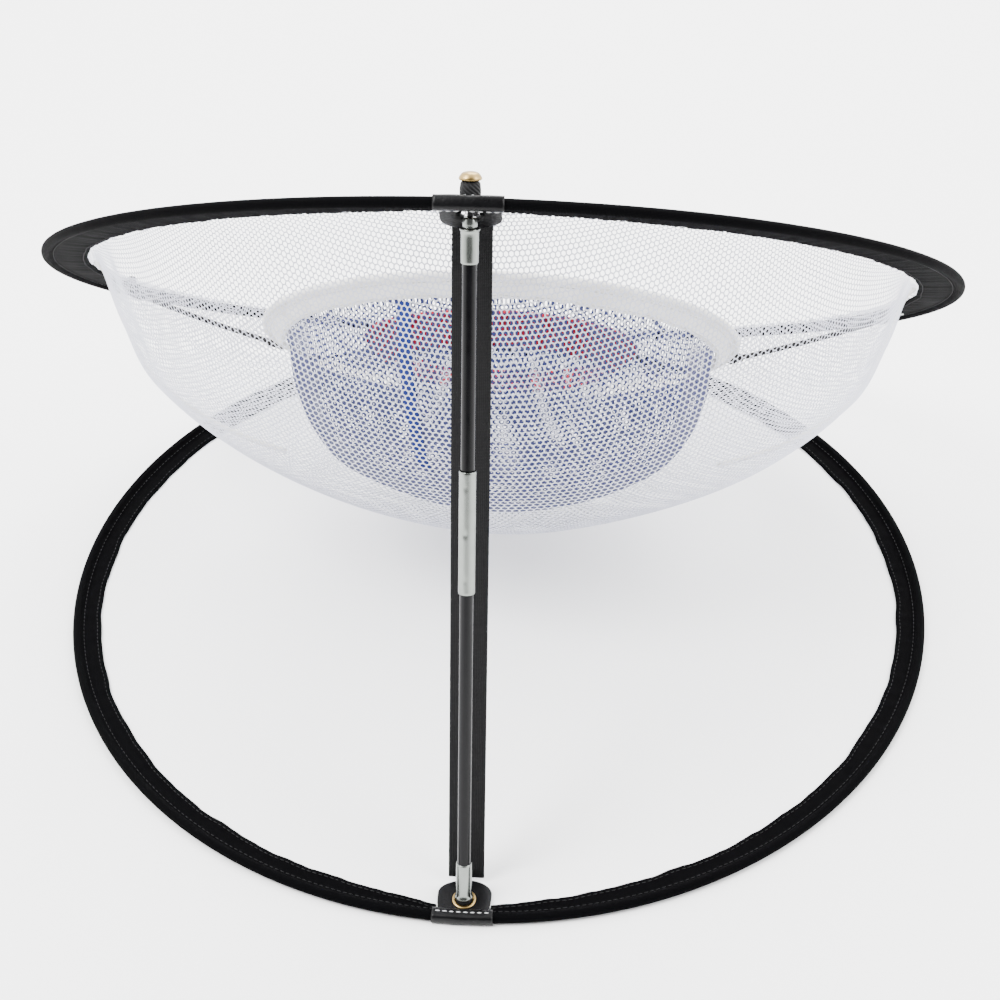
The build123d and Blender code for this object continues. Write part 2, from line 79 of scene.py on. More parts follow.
MIDDLE_HOOP_R = 135.0 * MM
MIDDLE_BAND = 14.0 * MM
MIDDLE_SLOPE = radians(36.0)
INNER_HOOP_R = 78.0 * MM
INNER_BAND = 20.0 * MM
INNER_SLOPE = radians(45.0)
SMALL_BEAD_R = 2.0 * MM
SMALL_WIRE_R = 1.25 * MM

PATCH_W = 30.0 * MM
PATCH_T = 0.8 * MM
PATCH_IN_R = 246.5 * MM
PATCH_ARC = PATCH_W / BEAD_RING_R
TAB_W = 27.0 * MM
TAB_T = 1.6 * MM
TAB_OUT_R = 248.5 * MM
TAB_END_R = 228.0 * MM
TAB_ROUND = 8.0 * MM
TAB_BORE_R = 4.2 * MM
BASE_TAB_LEVEL = -BASE_WIRE_Z + PATCH_T + TAB_T / 2

POLE_EYELET_RING_R = 240.0 * MM
POLE_EYELET_BORE_R = 4.0 * MM
POLE_EYELET_FLANGE_R = 6.0 * MM
CORD_EYELET_RING_R = 241.0 * MM
CORD_EYELET_BORE_R = 2.2 * MM
CORD_EYELET_FLANGE_R = 4.5 * MM
EYELET_CURL = 0.55 * MM

FERRULE_LOW = 160.0 * MM
FERRULE_LENGTH = 59.7 * MM
FERRULE_R = 3.9 * MM

CORD_ANGLES = {"left": radians(165.0), "right": radians(15.0)}
LONG_CORD_R = 1.5 * MM
LONG_CORD_SAG = 1.5 * MM
SHORT_CORD_R = 1.0 * MM
SHORT_CORD_SAG = 0.6 * MM

STRAP_W = 18.0 * MM
STRAP_T = 1.4 * MM
STRAP_BOW = 1.2 * MM
LOOP_W = 22.0 * MM
LOOP_R = 3.8 * MM
LOOP_T = 1.0 * MM
SADDLE_R = BEAD_R + 0.75 * MM
SADDLE_T = 0.9 * MM

NET_PITCH = 3.75 * MM
NET_THREAD = 0.9 * MM
BLUE_NET_THREAD = 1.6 * MM
NET_PANEL_CELLS = 14000
SEAM_T = 0.8 * MM

STITCH_SHARE = 0.68
LONG_STITCH = 3.2 * MM
SHORT_STITCH = 3.0 * MM
FINE_THREAD_R = 0.22 * MM
PATCH_THREAD_R = 0.32 * MM

# Cloth, yarn and light
WAVE_SCALE = 0.31
CLOTH_THREAD = 0.6 * MM
CLOTH_ROUGHNESS = 0.8
YARN_SHINE = 0.45
FLOOR_REACH = 30.0
WORLD_BRIGHT = 4.4
WORLD_DIM = 0.3


def vec(*numbers):
    """A vector of floats."""
    return np.array(numbers, float)


class Hoop:
    """A hoop's plane: its centre, and x, y and z, where z is the hoop's axis."""

    def __init__(self, centre, tilt):
        self.centre = np.array(centre, float)
        self.x = vec(1, 0, 0)
        self.y = vec(0, cos(tilt), -sin(tilt))
        self.z = vec(0, sin(tilt), cos(tilt))

    def at(self, x, y, z):
        """Points of the hoop's plane in the row frame; x, y and z may be arrays."""
        x, y, z = np.broadcast_arrays(x, y, z)
        return self.centre + x[..., None] * self.x + y[..., None] * self.y + z[..., None] * self.z

    def ring(self, radius, angle, z=0.0):
        """Points at a radius and an angle round the hoop's axis."""
        return self.at(radius * np.cos(angle), radius * np.sin(angle), z)


hinge = np.array(JOINTS["target_fold"]["pos_m"], float)
BASE = Hoop((0, 0, BASE_WIRE_Z), 0.0)
TARGET = Hoop(hinge + BEAD_RING_R * vec(0, -cos(TILT), sin(TILT)), TILT)
MIDDLE = Hoop(JOINTS["middle_swing"]["pos_m"], TILT + radians(8.0))
INNER = Hoop(JOINTS["inner_swing"]["pos_m"], TILT + radians(7.0))


# Camera, at the viewing angle of the picture: behind the net and a little to its right
CAMERA_AIM = Vector((0.0015, 0.0, 0.062))
CAMERA_DISTANCE = 0.972
CAMERA_AZIMUTH = radians(4.4)
CAMERA_ELEVATION = radians(39.5)
CAMERA_ROLL = radians(-0.6)
CAMERA_LENS = 59.8


def make_camera():
    """The one camera, aimed at a point and rolled a little about its own axis."""
    data = bpy.data.cameras.new("camera")
    data.lens = CAMERA_LENS
    data.sensor_width = 36.0
    camera = bpy.data.objects.new("camera", data)
    back = Vector((
        sin(CAMERA_AZIMUTH) * cos(CAMERA_ELEVATION),
        -cos(CAMERA_AZIMUTH) * cos(CAMERA_ELEVATION),
        sin(CAMERA_ELEVATION),
    ))
    turn = (-back).to_track_quat("-Z", "Y").to_matrix().to_4x4()
    roll = Matrix.Rotation(CAMERA_ROLL, 4, "Z")
    camera.matrix_world = Matrix.Translation(CAMERA_AIM + back * CAMERA_DISTANCE) @ turn @ roll
    bpy.context.collection.objects.link(camera)
    bpy.context.scene.camera = camera


make_camera()


# Materials
class Nodes:
    """A material's node tree, with short calls for the nodes that the materials share."""

    def __init__(self, name, colour, roughness, metallic=0.0, gloss=0.5):
        self.material = bpy.data.materials.new(name)
        self.material.use_nodes = True
        self.tree = self.material.node_tree
        self.shader = self.tree.nodes["Principled BSDF"]
        self.shader.inputs["Base Color"].default_value = (*colour, 1.0)
        self.shader.inputs["Roughness"].default_value = roughness
        self.shader.inputs["Metallic"].default_value = metallic
        self.shader.inputs["Specular IOR Level"].default_value = gloss
        self.colour = colour

    def add(self, kind, **values):
        """A new node with the given settings."""
        node = self.tree.nodes.new(kind)
        for key, value in values.items():
            setattr(node, key, value)
        return node

    def link(self, source, target):
        self.tree.links.new(source, target)

    def coordinates(self, kind, scale=(1.0, 1.0, 1.0)):
        """Object or UV coordinates, scaled by three numbers."""
        source = self.add("ShaderNodeTexCoord")
        mapping = self.add("ShaderNodeMapping")
        mapping.inputs["Scale"].default_value = scale
        self.link(source.outputs[kind], mapping.inputs["Vector"])
        return mapping.outputs["Vector"]

    def noise(self, vector, scale, detail=3.0):
        node = self.add("ShaderNodeTexNoise")
        node.inputs["Scale"].default_value = scale
        node.inputs["Detail"].default_value = detail
        self.link(vector, node.inputs["Vector"])
        return node.outputs["Fac"]

    def wave(self, vector, scale, direction):
        node = self.add("ShaderNodeTexWave", bands_direction=direction)
        node.inputs["Scale"].default_value = scale
        self.link(vector, node.inputs["Vector"])
        return node.outputs["Fac"]

    def maths(self, operation, first, second):
        node = self.add("ShaderNodeMath", operation=operation)
        for socket, value in zip(node.inputs, (first, second)):
            if isinstance(value, (int, float)):
                socket.default_value = value
            else:
                self.link(value, socket)
        return node.outputs["Value"]

    def vary_colour(self, fac, dark, light):
        """Base colour from dark to light times the material's own colour, by a factor."""
        ramp = self.add("ShaderNodeMix", data_type="RGBA")
        ramp.inputs["A"].default_value = (*(c * dark for c in self.colour), 1.0)
        ramp.inputs["B"].default_value = (*(min(1.0, c * light) for c in self.colour), 1.0)
        self.link(fac, ramp.inputs["Factor"])
        self.link(ramp.outputs["Result"], self.shader.inputs["Base Color"])

    def vary_roughness(self, fac, low, high):
        spread = self.add("ShaderNodeMapRange")
        spread.inputs["To Min"].default_value = low
        spread.inputs["To Max"].default_value = high
        self.link(fac, spread.inputs["Value"])
        self.link(spread.outputs["Result"], self.shader.inputs["Roughness"])

    def bump(self, height, strength, distance):
        node = self.add("ShaderNodeBump")
        node.inputs["Strength"].default_value = strength
        node.inputs["Distance"].default_value = distance
        self.link(height, node.inputs["Height"])
        self.link(node.outputs["Normal"], self.shader.inputs["Normal"])


def woven(name, colour, gloss):
    """Plain-woven cloth: two crossed waves on the piece's own UVs, which are in metres."""
    nodes = Nodes(name, colour, CLOTH_ROUGHNESS, gloss=gloss)
    uv = nodes.coordinates("UV")
    warp = nodes.wave(uv, WAVE_SCALE / CLOTH_THREAD, "X")
    weft = nodes.wave(uv, WAVE_SCALE / CLOTH_THREAD, "Y")
    cloth = nodes.maths("MULTIPLY", warp, weft)
    blotch = nodes.noise(nodes.coordinates("Object"), 60.0)
    shade = nodes.maths("ADD", nodes.maths("MULTIPLY", cloth, 0.45), nodes.maths("MULTIPLY", blotch, 0.55))
    nodes.vary_colour(shade, 0.6, 1.5)
    nodes.vary_roughness(blotch, CLOTH_ROUGHNESS - 0.1, CLOTH_ROUGHNESS + 0.1)
    nodes.bump(cloth, 0.5, CLOTH_THREAD * 0.5)
    return nodes.material


def coated_vinyl():
    """Black vinyl: fine grain over soft creases."""
    nodes = Nodes("black_vinyl", (0.002, 0.002, 0.0023), 0.38, gloss=0.12)
    place = nodes.coordinates("Object")
    grain = nodes.noise(place, 900.0, 4.0)
    creases = nodes.noise(place, 120.0, 2.0)
    nodes.vary_colour(creases, 0.7, 1.8)
    nodes.vary_roughness(creases, 0.2, 0.42)
    nodes.bump(nodes.maths("ADD", grain, nodes.maths("MULTIPLY", creases, 2.0)), 0.5, 0.3 * MM)
    return nodes.material


def ribbed_webbing():
    """Black webbing: ribs crossed by fine picks."""
    nodes = Nodes("webbing", (0.004, 0.004, 0.0045), 0.75, gloss=0.15)
    uv = nodes.coordinates("UV")
    ribs = nodes.wave(uv, WAVE_SCALE / (1.1 * MM), "Y")
    picks = nodes.wave(uv, WAVE_SCALE / (0.7 * MM), "X")
    weave = nodes.maths("MULTIPLY", ribs, picks)
    fuzz = nodes.noise(nodes.coordinates("Object"), 250.0)
    shade = nodes.maths("ADD", nodes.maths("MULTIPLY", weave, 0.7), nodes.maths("MULTIPLY", fuzz, 0.4))
    nodes.vary_colour(shade, 0.6, 2.0)
    nodes.vary_roughness(fuzz, 0.6, 0.82)
    nodes.bump(weave, 0.8, 0.4 * MM)
    return nodes.material


def metal(name, colour, roughness, stretch):
    """Drawn metal: fine streaks along the piece, faint blotches and worn roughness."""
    nodes = Nodes(name, colour, roughness, 1.0)
    streaks = nodes.noise(nodes.coordinates("Object", stretch), 500.0, 2.0)
    blotch = nodes.noise(nodes.coordinates("Object"), 180.0)
    nodes.vary_colour(blotch, 0.8, 1.15)
    wear = nodes.maths("MULTIPLY", nodes.maths("ADD", streaks, blotch), 0.5)
    nodes.vary_roughness(wear, roughness * 0.6, roughness * 1.5)
    nodes.bump(streaks, 0.15, 0.1 * MM)
    return nodes.material


def rod_lacquer():
    """Glossy black lacquer with scuffs along the rod."""
    nodes = Nodes("black_rod", (0.0015, 0.0015, 0.002), 0.13, gloss=0.14)
    scuffs = nodes.noise(nodes.coordinates("Object", (1.0, 1.0, 0.15)), 400.0, 4.0)
    nodes.vary_colour(scuffs, 0.7, 1.6)
    nodes.vary_roughness(scuffs, 0.1, 0.32)
    nodes.bump(scuffs, 0.08, 0.1 * MM)
    return nodes.material


def braided(name, colour):
    """Braided cord: two crossed slanting waves on the cord's UVs."""
    nodes = Nodes(name, colour, 0.7, gloss=0.25)
    uv = nodes.coordinates("UV")
    braid = nodes.wave(uv, WAVE_SCALE / (0.9 * MM), "DIAGONAL")
    fuzz = nodes.noise(nodes.coordinates("Object"), 900.0)
    nodes.vary_colour(nodes.maths("MULTIPLY", nodes.maths("ADD", braid, fuzz), 0.5), 0.5, 2.2)
    nodes.vary_roughness(fuzz, 0.55, 0.85)
    nodes.bump(braid, 0.8, 0.3 * MM)
    return nodes.material


def mesh_yarn(name, colour):
    """Polyester net yarn, slightly glossy, with faint changes of tone over the net."""
    nodes = Nodes(name, colour, YARN_SHINE)
    tone = nodes.noise(nodes.coordinates("Object"), 35.0, 2.0)
    nodes.vary_colour(tone, 0.86, 1.1)
    nodes.vary_roughness(tone, YARN_SHINE - 0.08, YARN_SHINE + 0.12)
    return nodes.material


BLACK_CLOTH = woven("black_cloth", (0.0012, 0.0012, 0.0015), 0.02)
WHITE_CLOTH = woven("white_cloth", (0.90, 0.87, 0.80), 0.3)
RED_CLOTH = woven("red_cloth", (0.27, 0.0025, 0.013), 0.15)
BLUE_CLOTH = woven("blue_cloth", (0.010, 0.022, 0.14), 0.2)
VINYL = coated_vinyl()
WEBBING = ribbed_webbing()
STEEL = metal("zinc_steel", (0.21, 0.225, 0.21), 0.2, (1.0, 1.0, 0.05))
WIRE_STEEL = metal("spring_steel", (0.40, 0.40, 0.41), 0.3, (0.2, 0.2, 1.0))
BRASS = metal("brass", (0.32, 0.22, 0.085), 0.3, (1.0, 1.0, 1.0))
ROD_BLACK = rod_lacquer()
ELASTIC = braided("elastic", (0.005, 0.005, 0.0055))
WHITE_THREAD = braided("white_thread", (0.62, 0.63, 0.65))
BLACK_THREAD = braided("black_thread", (0.006, 0.006, 0.007))
RED_THREAD = braided("red_thread", (0.40, 0.012, 0.02))
# The white net yarn is coloured grey with a lavender tint, well below its own white: painted shade, so the
# threads read darker than the pale floor behind them.
WHITE_YARN_PAINTED_SHADE = mesh_yarn("white_yarn_painted_shade", (0.60, 0.61, 0.70))
BLUE_YARN = mesh_yarn("blue_yarn", (0.002, 0.008, 0.09))


# Mesh building
def make_piece(name, points, faces, material, body, uv=None):
    """An object from points and faces that rides on a body; uv gives each point two metres."""
    mesh = bpy.data.meshes.new(name)
    mesh.from_pydata(np.asarray(points).reshape(-1, 3).tolist(), [], list(faces))
    if uv is not None:
        corners = np.empty(len(mesh.loops), int)
        mesh.loops.foreach_get("vertex_index", corners)
        layer = mesh.uv_layers.new(name="metres")
        layer.data.foreach_set("uv", np.asarray(uv, np.float32).reshape(-1, 2)[corners].ravel())
    mesh.polygons.foreach_set("use_smooth", [True] * len(mesh.polygons))
    mesh.materials.append(material)
    piece = bpy.data.objects.new(name, mesh)
    bpy.context.collection.objects.link(piece)
    if body:
        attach(piece, body)
    return piece


def flatten(piece):
    """Give a soft piece a mesh of its own."""
    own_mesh(piece)
    return piece


def grid(points, close_first=False, close_second=False, cap=False):
    """Points, quads and UVs of a grid of points; UVs run along the grid in metres."""
    rows, columns = points.shape[:2]
    index = np.arange(rows * columns).reshape(rows, columns)
    if close_first:
        index = np.vstack([index, index[:1]])
    if close_second:
        index = np.hstack([index, index[:, :1]])
    quads = np.stack([index[:-1, :-1], index[1:, :-1], index[1:, 1:], index[:-1, 1:]], -1).reshape(-1, 4)
    faces = quads.tolist()
    if cap:
        faces.append(list(range(columns)))
        faces.append(list(range((rows - 1) * columns, rows * columns))[::-1])
    along = np.linalg.norm(np.diff(points, axis=0, prepend=points[:1]), axis=2).mean(1).cumsum()
    across = np.linalg.norm(np.diff(points, axis=1, prepend=points[:, :1]), axis=2).mean(0).cumsum()
    uv = np.stack(np.broadcast_arrays(along[:, None], across[None, :]), -1)
    return points.reshape(-1, 3), faces, uv


def tube(path, radius, sides=12):
    """A round tube's grid of points along a path; radius may be a number or one per point."""
    path = np.asarray(path, float)
    tangent = np.gradient(path, axis=0)
    tangent /= np.linalg.norm(tangent, axis=1, keepdims=True)
    side = np.cross(tangent, vec(0.31, 0.17, 0.93))
    side /= np.linalg.norm(side, axis=1, keepdims=True)
    other = np.cross(tangent, side)
    angle = np.linspace(0, 2 * pi, sides, endpoint=False)
    radius = np.broadcast_to(radius, len(path))[:, None, None]
    circle = np.cos(angle)[None, :, None] * side[:, None] + np.sin(angle)[None, :, None] * other[:, None]
    return path[:, None] + radius * circle


def ribbon(path, across, normal, width, thickness):
    """A flat band's grid of points with soft edges, along a path."""
    half, edge = width / 2, thickness / 2
    turn = np.linspace(-pi / 2, pi / 2, 5)
    right = [(half - edge + edge * cos(t), edge * sin(t)) for t in turn]
    section = np.array(right + [(-x, -y) for x, y in right])
    across, normal = np.broadcast_to(across, path.shape), np.broadcast_to(normal, path.shape)
    return path[:, None] + section[None, :, :1] * across[:, None] + section[None, :, 1:] * normal[:, None]


def revolved(origin, axis, profile, sides=40):
    """A turned piece's grid of points: profile is (distance along the axis, radius) pairs."""
    axis = np.asarray(axis, float) / np.linalg.norm(axis)
    side = np.cross(axis, vec(1, 0, 0) if abs(axis[0]) < 0.9 else vec(0, 1, 0))
    side /= np.linalg.norm(side)
    other = np.cross(axis, side)
    angle = np.linspace(0, 2 * pi, sides, endpoint=False)
    around = np.cos(angle)[:, None] * side + np.sin(angle)[:, None] * other
    profile = np.asarray(profile, float)
    return origin + profile[:, 0, None, None] * axis + profile[:, 1, None, None] * around


def rounded(profile, steps, share):
    """A profile with its corners cut back and curved."""
    profile = np.asarray(profile, float)
    out = [profile[0]]
    for before, corner, after in zip(profile[:-2], profile[1:-1], profile[2:]):
        start = corner + (before - corner) * share
        end = corner + (after - corner) * share
        for t in np.linspace(0, 1, steps):
            out.append((1 - t) ** 2 * start + 2 * t * (1 - t) * corner + t * t * end)
    out.append(profile[-1])
    return np.array(out)


def stitch_run(path, pitch, radius):
    """A row of stitches along a path, as points and faces of one mesh."""
    path = np.asarray(path, float)
    step = np.linalg.norm(np.diff(path, axis=0), axis=1)
    distance = np.concatenate([[0], step.cumsum()])
    count = max(1, int(distance[-1] / pitch))
    points, faces = [], []
    bulge = np.array([0.35, 1.0, 1.0, 0.35])
    for number in range(count):
        start = (number + 0.5 - STITCH_SHARE / 2) / count * distance[-1]
        places = start + np.linspace(0, STITCH_SHARE * pitch, 4)
        line = np.stack([np.interp(places, distance, path[:, k]) for k in range(3)], -1)
        ring, quads, _ = grid(tube(line, radius * bulge, 6), close_second=True, cap=True)
        faces += [[len(points) + i for i in quad] for quad in quads]
        points += ring.tolist()
    return points, faces


def ripple(angle, waves, seed):
    """A smooth repeatable unevenness round a hoop, between about -1 and 1."""
    pick = np.random.default_rng(seed)
    total = np.zeros_like(np.asarray(angle, float))
    for wave in waves:
        total = total + np.sin(wave * angle + pick.uniform(0, 2 * pi)) * pick.uniform(0.5, 1.0)
    return total / len(waves)


# Sleeves: a flat sewn band with the wire's bead at its outer edge, puckered along its seam
def flat_sleeve(name, hoop, band, hem_middle, floor, narrowing, body, seed):
    """A hoop's black sleeve; it gets narrower beside the patch, and floor stops its lower face."""
    start = NEAR + PATCH_ARC / 2 - SLEEVE_TUCK_ANGLE
    end = NEAR - PATCH_ARC / 2 + SLEEVE_TUCK_ANGLE + 2 * pi
    angle = np.linspace(start, end, 900)
    bead_at = band - BEAD_R
    turn = np.radians(np.linspace(205, 515, 17))
    bead_w = bead_at + BEAD_R * np.cos(turn)
    bead_z = BEAD_R * np.sin(turn)
    hem_w = np.linspace(0, bead_at - BEAD_R * 1.15, 9)
    w = np.concatenate([hem_w, bead_w, hem_w[::-1]])
    side = np.concatenate([-np.ones(9), np.zeros(17), np.ones(9)])
    edge = np.clip(w / (bead_at - BEAD_R), 0, 1)
    slack = np.sin(pi * edge) ** 0.7
    thick = HEM_T / 2 * (0.72 + 0.5 * slack)
    z_hem = hem_middle * (1 - np.clip((edge - 0.75) * 4, 0, 1)) + side * thick
    z_bead = np.concatenate([np.zeros(9), bead_z, np.zeros(9)])
    height = np.where(side == 0, z_bead, z_hem)
    pucker = ripple(angle, (61, 97, 143, 211), seed)[:, None] * 0.55 * MM
    scallop = ripple(angle, (19, 31, 43, 67), seed + 1)[:, None] * 1.1 * MM
    from_patch = np.minimum(angle - start, end - angle)[:, None] * HOOP_R
    scallop = scallop + narrowing * np.exp(-from_patch / (35.0 * MM))
    hem = (1 - edge)[None, :] * (side != 0)[None, :]
    radius = HOOP_R - band + w[None, :] + scallop * hem
    z = height[None, :] + pucker * (0.35 + 0.65 * hem) * (side != 0)[None, :]
    if floor is not None:
        z = np.maximum(z, floor)
    points, faces, uv = grid(hoop.ring(radius, angle[:, None], z), close_second=True, cap=True)
    piece = make_piece(name, points, faces, BLACK_CLOTH, body, uv)
    for row, inset in enumerate((2.2 * MM, bead_at - BEAD_R * 1.5)):
        level = hem_middle if row == 0 else hem_middle * 0.4
        seam_r = HOOP_R - band + inset + (scallop[:, 0] if row == 0 else 0.0)
        sewn = (-1, 1) if floor is None else (1,)
        lines = [hoop.ring(seam_r, angle, level + face * 0.62 * HEM_T) for face in sewn]
        runs = [stitch_run(line, LONG_STITCH, FINE_THREAD_R) for line in lines]
        join_runs(f"{name}_stitches_{row}", runs, BLACK_THREAD, body)
    return piece


def join_runs(name, runs, material, body):
    """One piece from several rows of stitches."""
    points, faces = [], []
    for run_points, run_faces in runs:
        faces += [[len(points) + i for i in face] for face in run_faces]
        points += run_points
    return make_piece(name, points, faces, material, body)


base_sleeve = flat_sleeve(
    "base_sleeve_cloth", BASE, BASE_BAND, -BASE_WIRE_Z + HEM_T / 2, -BASE_WIRE_Z, 5.0 * MM, "base", 11
)
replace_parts(base_sleeve, "base_hoop_sleeve")
target_sleeve = flat_sleeve("target_sleeve_cloth", TARGET, TARGET_BAND, 0.0, None, 6.0 * MM, "target", 23)
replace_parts(target_sleeve, "target_hoop_sleeve")


# Small bands: the middle and inner hoops' cloth hangs inwards from the wire as a cone
def cone_band(name, hoop, radius, band, slope, body, material, thread, node, seed):
    """A small hoop's wire and the puckered band that is sewn over it, with its stitches."""
    bead_ring = radius - SMALL_BEAD_R
    angle = np.linspace(0, 2 * pi, 420, endpoint=False)
    along = np.array([-cos(slope), -sin(slope)])
    normal = np.array([-sin(slope), cos(slope)])
    lengths = np.linspace(SMALL_BEAD_R * 0.9, band, 7)
    turn = np.linspace(pi * 0.82, -pi * 0.82, 15)
    section = [along * s - normal * HEM_T * 0.42 for s in lengths[::-1]]
    section += [-SMALL_BEAD_R * (along * cos(t) + normal * sin(t)) for t in turn]
    section += [along * s + normal * HEM_T * 0.42 for s in lengths]
    section = np.array(section)
    reach = np.clip(section @ along / band, 0, 1)[None, :]
    wobble = ripple(angle, (7, 11, 17, 29), seed)[:, None] * 0.9 * MM
    pucker = ripple(angle, (41, 67, 89), seed + 1)[:, None] * 0.5 * MM
    r = bead_ring + section[None, :, 0] + reach * wobble
    z = section[None, :, 1] + reach * (pucker + 0.6 * wobble)
    points, faces, uv = grid(hoop.ring(r, angle[:, None], z), close_first=True, close_second=True)
    piece = flatten(make_piece(name, points, faces, material, body, uv))
    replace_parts(piece, node)
    ring = hoop.ring(bead_ring, np.linspace(0, 2 * pi, 181))
    points, faces, uv = grid(tube(ring, SMALL_WIRE_R, 8), close_second=True)
    wire = flatten(make_piece(f"{body}_wire_ring", points, faces, WIRE_STEEL, body, uv))
    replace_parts(wire, f"{body}_hoop_wire")
    runs = []
    for share in (0.3, 0.88):
        for face in (-1, 1):
            spot = along * band * share + normal * face * HEM_T * 0.52
            shift = share * wobble[:, 0]
            rise = share * (pucker[:, 0] + 0.6 * wobble[:, 0])
            line = hoop.ring(bead_ring + spot[0] + shift, angle, spot[1] + rise)
            runs.append(stitch_run(np.vstack([line, line[:1]]), SHORT_STITCH, FINE_THREAD_R))
    flatten(join_runs(f"{name}_stitches", runs, thread, body))


cone_band(
    "middle_band_cloth", MIDDLE, MIDDLE_HOOP_R, MIDDLE_BAND, MIDDLE_SLOPE, "middle", WHITE_CLOTH,
    WHITE_THREAD, "middle_hoop_sleeve", 31,
)
cone_band(
    "inner_band_cloth", INNER, INNER_HOOP_R, INNER_BAND, INNER_SLOPE, "inner", RED_CLOTH,
    RED_THREAD, "inner_hoop_sleeve", 41,
)


# Nets: a hexagonal lattice laid flat, then wrapped over a pocket that hangs from its hoop
def pocket_rings(hoop, mouth, ellipses):
    """Mouth circles, then ellipses by near and far (y, z) points and half width, in millimetres."""
    rings = []
    for radius, shift, height in mouth:
        rings.append((hoop.at(0.0, shift * MM, height * MM), hoop.y, radius * MM, radius * MM))
    for near, far, half_width in ellipses:
        near, far = vec(0, *near) * MM, vec(0, *far) * MM
        half = np.linalg.norm(far - near) / 2
        rings.append(((near + far) / 2, (far - near) / (2 * half), half_width * MM, half))
    centre, side = rings[-1][0], rings[-1][1]
    rings.append((centre + vec(0, 0, -1.5 * MM), side, 0.0, 0.0))
    return rings[::-1]


def ring_points(rings, angle):
    """Every ring's point at each angle, from the pocket's bottom to its mouth."""
    stacked = [
        centre + a * np.cos(angle)[:, None] * vec(1, 0, 0) + b * np.sin(angle)[:, None] * side
        for centre, side, a, b in rings
    ]
    return np.array(stacked)


def on_pocket(rings, angle, distance, folds):
    """Points of a pocket at an angle and a distance from its bottom, on a smooth curve."""
    knots = ring_points(rings, angle)
    opposite = ring_points(rings[:2], angle + pi)
    beyond = 2 * knots[-1] - knots[-2]
    knots = np.concatenate([opposite[1:2], knots, beyond[None]])
    lengths = np.linalg.norm(np.diff(knots[1:-1], axis=0), axis=2)
    reach = np.concatenate([np.zeros((1, len(angle))), lengths.cumsum(0)])
    distance = np.clip(distance, 0, reach[-1] - 1e-6)
    segment = np.clip((reach <= distance).sum(0) - 1, 0, len(lengths) - 1)
    pick = np.arange(len(angle))
    t = ((distance - reach[segment, pick]) / lengths[segment, pick])[:, None]
    p0, p1, p2, p3 = (knots[segment + k, pick] for k in range(4))
    bend = 2 * p0 - 5 * p1 + 4 * p2 - p3
    twist = 3 * p1 - p0 - 3 * p2 + p3
    point = 0.5 * (2 * p1 + (p2 - p0) * t + bend * t ** 2 + twist * t ** 3)
    share = distance / reach[-1]
    centre, side = rings[len(rings) // 2][:2]
    outward = np.cos(angle)[:, None] * vec(1, 0, 0) + np.sin(angle)[:, None] * side
    return point + outward * folds(angle, share)[:, None]


def vertex_normals(points, faces):
    """The smooth normal at each point of a mesh."""
    mesh = bpy.data.meshes.new("scratch")
    mesh.from_pydata(points.tolist(), [], faces.tolist())
    normals = np.empty(len(points) * 3)
    mesh.vertices.foreach_get("normal", normals)
    bpy.data.meshes.remove(mesh)
    return normals.reshape(-1, 3)


def hex_net(name, rings, folds, pitch, thread, material, body, node):
    """A net of hexagonal cells: each cell is a rim of yarn, raised a little along its outer edge."""
    table = np.linspace(0, 2 * pi, 721)
    spans = np.linalg.norm(np.diff(ring_points(rings, table), axis=0), axis=2).sum(0)
    edge = pitch / np.sqrt(3)
    row_step = 1.5 * edge
    columns = int(spans.max() / pitch) + 3
    rows = int(spans.max() / row_step) + 3
    i, j = np.meshgrid(np.arange(-columns, columns + 1), np.arange(-rows, rows + 1))
    centres = np.stack([pitch * (i + 0.5 * (j % 2)), row_step * j], -1).reshape(-1, 2)
    angle = np.arctan2(centres[:, 1], centres[:, 0]) % (2 * pi)
    inside = np.hypot(*centres.T) < np.interp(angle, table, spans) + 0.2 * pitch
    centres = centres[inside]
    turn = np.radians(30 + 60 * np.arange(6))
    corner = edge * np.stack([np.cos(turn), np.sin(turn)], -1)
    outer = (centres[:, None] + corner).reshape(-1, 2)
    hole = (centres[:, None] + corner * (pitch - thread) / pitch).reshape(-1, 2)
    key = np.round(outer / (0.1 * edge)).astype(int)
    _, first, back = np.unique(key, axis=0, return_index=True, return_inverse=True)
    flat = np.vstack([outer[first], hole])
    ridge = back.reshape(-1, 6)
    inner = len(first) + np.arange(len(hole)).reshape(-1, 6)
    cells = np.stack([ridge, np.roll(ridge, -1, 1), np.roll(inner, -1, 1), inner], -1)
    angle = np.arctan2(flat[:, 1], flat[:, 0]) % (2 * pi)
    distance = np.minimum(np.hypot(*flat.T), np.interp(angle, table, spans))
    points = on_pocket(rings, angle, distance, folds)
    lift = np.zeros((len(points), 1))
    lift[: len(first)] = 0.3 * thread
    points = points + lift * vertex_normals(points, cells.reshape(-1, 4))
    panels = -(-len(cells) // NET_PANEL_CELLS)
    for number, part in enumerate(np.array_split(np.argsort(centres[:, 0], kind="stable"), panels)):
        used, faces = np.unique(cells[part], return_inverse=True)
        faces = faces.reshape(-1, 4).tolist()
        piece = make_piece(f"{name}_{number}", points[used], faces, material, body)
        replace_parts(flatten(piece), node)


def net_seam(name, rings, folds, angle, shares, width, material, body):
    """A strip of doubled cloth sewn down a pocket at an angle, between two shares of its depth."""
    angles = np.full(40, angle)
    span = np.linalg.norm(np.diff(ring_points(rings, angles[:1]), axis=0), axis=2).sum()
    line = on_pocket(rings, angles, np.linspace(*shares, 40) * span, folds)
    centre = rings[len(rings) // 2][0]
    along = np.gradient(line, axis=0)
    along /= np.linalg.norm(along, axis=1, keepdims=True)
    outward = line - centre
    across = np.cross(along, outward)
    across /= np.linalg.norm(across, axis=1, keepdims=True)
    normal = np.cross(across, along)
    points, faces, uv = grid(ribbon(line, across, normal, width, SEAM_T), close_second=True, cap=True)
    flatten(make_piece(name, points, faces, material, body, uv))


